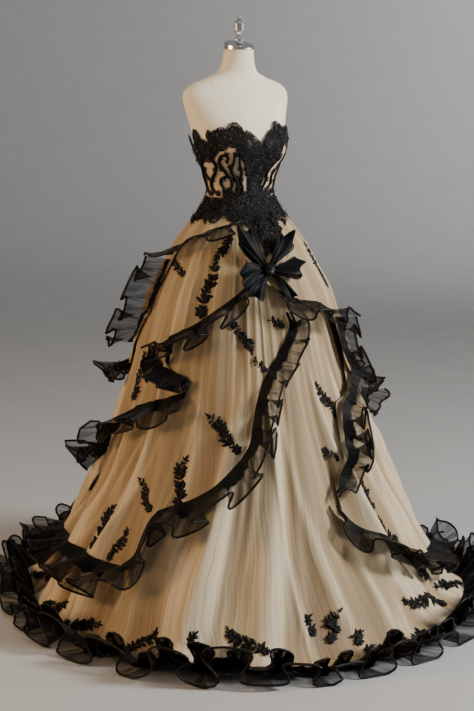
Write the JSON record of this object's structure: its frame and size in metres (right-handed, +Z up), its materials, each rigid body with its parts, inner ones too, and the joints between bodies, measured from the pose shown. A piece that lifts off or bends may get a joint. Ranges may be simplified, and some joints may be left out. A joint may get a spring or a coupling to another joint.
{
  "type": "strapless evening gown on a dress form",
  "caption": "Floor-length strapless gown of champagne tulle with draped overskirts edged in black organza ruffles, standing on a limbless dress form with a round foot.",
  "frame": {"origin": "centre of the underside of the stand's foot, on the floor", "axes": "+Z up along the pole, -Y towards the gown's front, +X towards the wearer's left"},
  "size_m": [1.5818, 1.7474, 1.8403],
  "materials": {
    "champagne_tulle": "fine champagne tulle gathered over a champagne underskirt",
    "bodice_satin": "matt champagne satin",
    "black_organza": "sheer black organza with a bound edge",
    "black_lace": "beaded black lace",
    "form_cover": "smooth ivory cotton jersey",
    "bright_metal": "polished metal",
    "stand_metal": "brushed steel"
  },
  "bodies": {
    "root": {"back_ruffle_left": "black_organza", "back_ruffle_right": "black_organza", "back_ruffle_upper": "black_organza", "bodice_back_left": "bodice_satin", "bodice_back_right": "bodice_satin", "bodice_front_left": "bodice_satin", "bodice_front_right": "bodice_satin", "bodice_side_left": "bodice_satin", "bodice_side_right": "bodice_satin", "cascade_left": "black_organza", "cascade_left_low": "black_organza", "cascade_right": "black_organza", "cascade_right_low": "black_organza", "finial": "bright_metal", "flounce_left": "champagne_tulle", "flounce_right": "champagne_tulle", "foot": "stand_metal", "form_torso": "form_cover", "front_lace": "black_lace", "front_ruffle_fold": "black_organza", "front_ruffle_lower": "black_organza", "front_ruffle_upper": "black_organza", "gore_back_left": "champagne_tulle", "gore_back_right": "champagne_tulle", "gore_front_left": "champagne_tulle", "gore_front_right": "champagne_tulle", "gore_side_back_left": "champagne_tulle", "gore_side_back_right": "champagne_tulle", "gore_side_left": "champagne_tulle", "gore_side_right": "champagne_tulle", "hem_ruffle_1": "black_organza", "hem_ruffle_2": "black_organza", "hem_ruffle_3": "black_organza", "hip_lace_left": "black_lace", "hip_lace_right": "black_lace", "hip_ruffle_left": "black_organza", "hip_ruffle_right": "black_organza", "knot_loop_left": "black_organza", "knot_loop_lower": "black_organza", "knot_loop_right": "black_organza", "knot_loop_tail": "black_organza", "knot_loop_upper_left": "black_organza", "knot_loop_upper_right": "black_organza", "lower_overskirt_back_left": "champagne_tulle", "lower_overskirt_back_right": "champagne_tulle", "lower_overskirt_left": "champagne_tulle", "lower_overskirt_left_front": "champagne_tulle", "lower_overskirt_right": "champagne_tulle", "lower_overskirt_right_front": "champagne_tulle", "middle_overskirt": "champagne_tulle", "neck_cap": "bright_metal", "neckline_lace_left": "black_lace", "neckline_lace_right": "black_lace", "pole": "stand_metal", "side_ruffle_left": "black_organza", "side_ruffle_right": "black_organza", "upper_overskirt_back_left": "champagne_tulle", "upper_overskirt_back_right": "champagne_tulle", "upper_overskirt_left": "champagne_tulle", "upper_overskirt_right": "champagne_tulle"}
  },
  "joints": []
}
